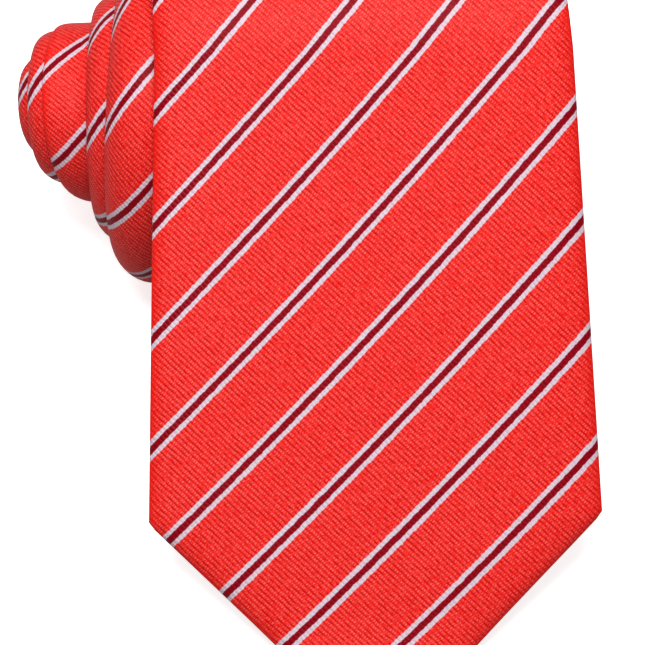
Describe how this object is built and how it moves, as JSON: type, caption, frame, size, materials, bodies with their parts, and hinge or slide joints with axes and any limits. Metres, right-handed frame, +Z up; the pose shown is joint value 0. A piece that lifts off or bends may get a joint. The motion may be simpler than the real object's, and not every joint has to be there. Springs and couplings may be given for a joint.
{
  "type": "necktie",
  "caption": "Striped silk necktie, folded at the neck and loosely rolled up, with its wide pointed blade running off the roll as a ramp down to the table.",
  "frame": {"origin": "middle of the bounding box, on the table that the roll and the blade's tip lie on", "axes": "+Z up from the table, +Y from the blade's tip towards the roll, X along the roll's axis with -X at the side where the inner turns stand out"},
  "size_m": [0.1072, 0.1576, 0.0685],
  "materials": {
    "striped_silk": "ribbed silk weave, red ground with narrow white and dark red stripes",
    "interlining_wool": "brushed off-white wool blend",
    "tipping_lining": "smooth dark red lining satin",
    "sewing_thread": "twisted silk thread",
    "label_satin": "blank woven label with a bordered edge",
    "care_label_satin": "blank printed-satin care label without print"
  },
  "bodies": {
    "roll": {"blade_wrap_shell": "striped_silk", "blade_wrap_interlining": "interlining_wool", "keeper_loop": "striped_silk", "blank_label": "label_satin"},
    "front_blade": {"front_blade_shell": "striped_silk", "front_blade_interlining": "interlining_wool", "front_bar_tack": "sewing_thread"},
    "blade_tip": {"blade_tip_shell": "striped_silk", "blade_tip_interlining": "interlining_wool", "blade_tipping": "tipping_lining"},
    "core": {"coil_blade_shell": "striped_silk", "coil_blade_interlining": "interlining_wool", "neck_shell": "striped_silk", "neck_interlining": "interlining_wool", "tail_shell": "striped_silk", "tail_interlining": "interlining_wool", "tail_tipping": "tipping_lining", "rear_bar_tack": "sewing_thread", "care_label": "care_label_satin"}
  },
  "joints": [
    {"name": "blade_lift", "type": "hinge", "parent": "roll", "child": "front_blade", "pos_m": [0.01107, 0.03219, 0.06431], "axis": [-1, 0, 0], "range_deg": [0, 75]},
    {"name": "tip_curl", "type": "hinge", "parent": "front_blade", "child": "blade_tip", "pos_m": [0.01107, -0.02871, 0.02625], "axis": [-1, 0, 0], "range_deg": [0, 60]},
    {"name": "core_push", "type": "slide", "parent": "roll", "child": "core", "axis": [1, 0, 0], "range_m": [0, 0.012]}
  ]
}
